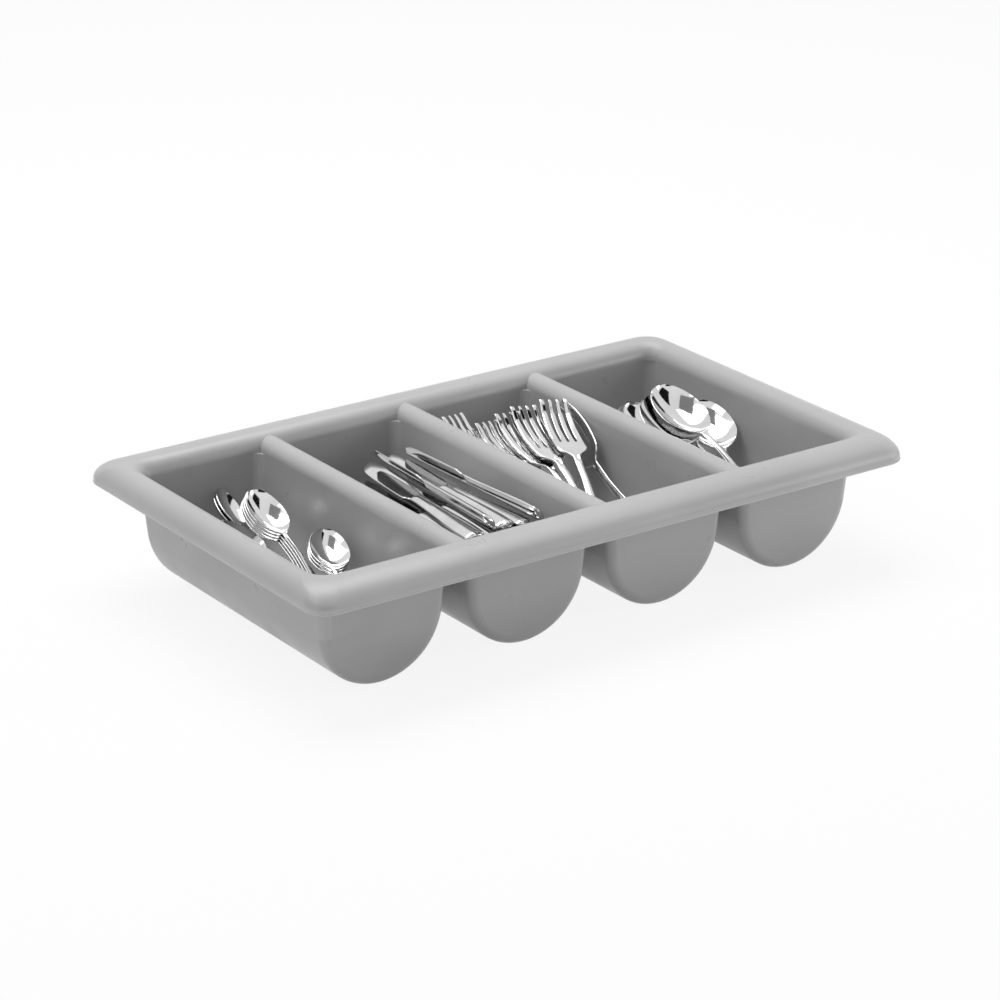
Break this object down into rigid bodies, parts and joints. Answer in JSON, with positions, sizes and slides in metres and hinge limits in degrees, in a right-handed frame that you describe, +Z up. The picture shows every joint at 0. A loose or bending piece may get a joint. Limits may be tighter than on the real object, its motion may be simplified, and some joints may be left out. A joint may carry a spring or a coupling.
{
  "type": "cutlery dispenser",
  "caption": "Open-topped moulded plastic cutlery dispenser with round-bottomed compartments side by side under one domed rim, filled with loose teaspoons, knives, forks and soup spoons.",
  "frame": {"origin": "middle of the footprint, on the surface that the tray stands on", "axes": "+X along the long side, across the compartments, +Y along the short side and the compartments, +Z up"},
  "size_m": [0.53, 0.325, 0.1],
  "materials": {
    "satin_plastic": "satin",
    "polished_steel": "polished"
  },
  "bodies": {
    "tray": {"tray_moulding": "satin_plastic"},
    "teaspoon_1": {"teaspoon_1": "polished_steel"},
    "teaspoon_2": {"teaspoon_2": "polished_steel"},
    "teaspoon_3": {"teaspoon_3": "polished_steel"},
    "teaspoon_4": {"teaspoon_4": "polished_steel"},
    "teaspoon_5": {"teaspoon_5": "polished_steel"},
    "teaspoon_6": {"teaspoon_6": "polished_steel"},
    "teaspoon_7": {"teaspoon_7": "polished_steel"},
    "teaspoon_8": {"teaspoon_8": "polished_steel"},
    "teaspoon_9": {"teaspoon_9": "polished_steel"},
    "teaspoon_10": {"teaspoon_10": "polished_steel"},
    "lower_knife_stack": {"lower_knife_stack": "polished_steel"},
    "knife_1": {"knife_1": "polished_steel"},
    "knife_2": {"knife_2": "polished_steel"},
    "knife_3": {"knife_3": "polished_steel"},
    "knife_4": {"knife_4": "polished_steel"},
    "knife_5": {"knife_5": "polished_steel"},
    "fork_1": {"fork_1": "polished_steel"},
    "fork_2": {"fork_2": "polished_steel"},
    "fork_3": {"fork_3": "polished_steel"},
    "fork_4": {"fork_4": "polished_steel"},
    "fork_5": {"fork_5": "polished_steel"},
    "fork_6": {"fork_6": "polished_steel"},
    "fork_7": {"fork_7": "polished_steel"},
    "soup_spoon_1": {"soup_spoon_1": "polished_steel"},
    "soup_spoon_2": {"soup_spoon_2": "polished_steel"},
    "soup_spoon_3": {"soup_spoon_3": "polished_steel"},
    "soup_spoon_4": {"soup_spoon_4": "polished_steel"}
  },
  "joints": [
    {"name": "lift_teaspoon_1", "type": "slide", "parent": "tray", "child": "teaspoon_1", "axis": [0, 0, 1], "range_m": [0, 0.1]},
    {"name": "lift_teaspoon_2", "type": "slide", "parent": "teaspoon_1", "child": "teaspoon_2", "axis": [0, 0, 1], "range_m": [0, 0.1]},
    {"name": "lift_teaspoon_3", "type": "slide", "parent": "teaspoon_2", "child": "teaspoon_3", "axis": [0, 0, 1], "range_m": [0, 0.1]},
    {"name": "lift_teaspoon_4", "type": "slide", "parent": "teaspoon_3", "child": "teaspoon_4", "axis": [0, 0, 1], "range_m": [0, 0.1]},
    {"name": "lift_teaspoon_5", "type": "slide", "parent": "teaspoon_4", "child": "teaspoon_5", "axis": [0, 0, 1], "range_m": [0, 0.1]},
    {"name": "lift_teaspoon_6", "type": "slide", "parent": "teaspoon_5", "child": "teaspoon_6", "axis": [0, 0, 1], "range_m": [0, 0.1]},
    {"name": "lift_teaspoon_7", "type": "slide", "parent": "teaspoon_6", "child": "teaspoon_7", "axis": [0, 0, 1], "range_m": [0, 0.1]},
    {"name": "lift_teaspoon_8", "type": "slide", "parent": "teaspoon_7", "child": "teaspoon_8", "axis": [0, 0, 1], "range_m": [0, 0.1]},
    {"name": "lift_teaspoon_9", "type": "slide", "parent": "teaspoon_8", "child": "teaspoon_9", "axis": [0, 0, 1], "range_m": [0, 0.1]},
    {"name": "lift_teaspoon_10", "type": "slide", "parent": "teaspoon_9", "child": "teaspoon_10", "axis": [0, 0, 1], "range_m": [0, 0.1]},
    {"name": "lift_lower_knife_stack", "type": "slide", "parent": "tray", "child": "lower_knife_stack", "axis": [0, 0, 1], "range_m": [0, 0.1]},
    {"name": "lift_knife_1", "type": "slide", "parent": "lower_knife_stack", "child": "knife_1", "axis": [0, 0, 1], "range_m": [0, 0.1]},
    {"name": "lift_knife_2", "type": "slide", "parent": "knife_1", "child": "knife_2", "axis": [0, 0, 1], "range_m": [0, 0.1]},
    {"name": "lift_knife_3", "type": "slide", "parent": "knife_2", "child": "knife_3", "axis": [0, 0, 1], "range_m": [0, 0.1]},
    {"name": "lift_knife_4", "type": "slide", "parent": "knife_3", "child": "knife_4", "axis": [0, 0, 1], "range_m": [0, 0.1]},
    {"name": "lift_knife_5", "type": "slide", "parent": "knife_4", "child": "knife_5", "axis": [0, 0, 1], "range_m": [0, 0.1]},
    {"name": "lift_fork_1", "type": "slide", "parent": "tray", "child": "fork_1", "axis": [0, 0, 1], "range_m": [0, 0.12]},
    {"name": "lift_fork_2", "type": "slide", "parent": "fork_1", "child": "fork_2", "axis": [0, 0, 1], "range_m": [0, 0.12]},
    {"name": "lift_fork_3", "type": "slide", "parent": "fork_2", "child": "fork_3", "axis": [0, 0, 1], "range_m": [0, 0.12]},
    {"name": "lift_fork_4", "type": "slide", "parent": "fork_3", "child": "fork_4", "axis": [0, 0, 1], "range_m": [0, 0.12]},
    {"name": "lift_fork_5", "type": "slide", "parent": "fork_4", "child": "fork_5", "axis": [0, 0, 1], "range_m": [0, 0.12]},
    {"name": "lift_fork_6", "type": "slide", "parent": "fork_5", "child": "fork_6", "axis": [0, 0, 1], "range_m": [0, 0.12]},
    {"name": "lift_fork_7", "type": "slide", "parent": "fork_6", "child": "fork_7", "axis": [0, 0, 1], "range_m": [0, 0.12]},
    {"name": "lift_soup_spoon_1", "type": "slide", "parent": "tray", "child": "soup_spoon_1", "axis": [0, 0, 1], "range_m": [0, 0.12]},
    {"name": "lift_soup_spoon_2", "type": "slide", "parent": "soup_spoon_1", "child": "soup_spoon_2", "axis": [0, 0, 1], "range_m": [0, 0.12]},
    {"name": "lift_soup_spoon_3", "type": "slide", "parent": "soup_spoon_2", "child": "soup_spoon_3", "axis": [0, 0, 1], "range_m": [0, 0.12]},
    {"name": "lift_soup_spoon_4", "type": "slide", "parent": "soup_spoon_3", "child": "soup_spoon_4", "axis": [0, 0, 1], "range_m": [0, 0.12]}
  ]
}
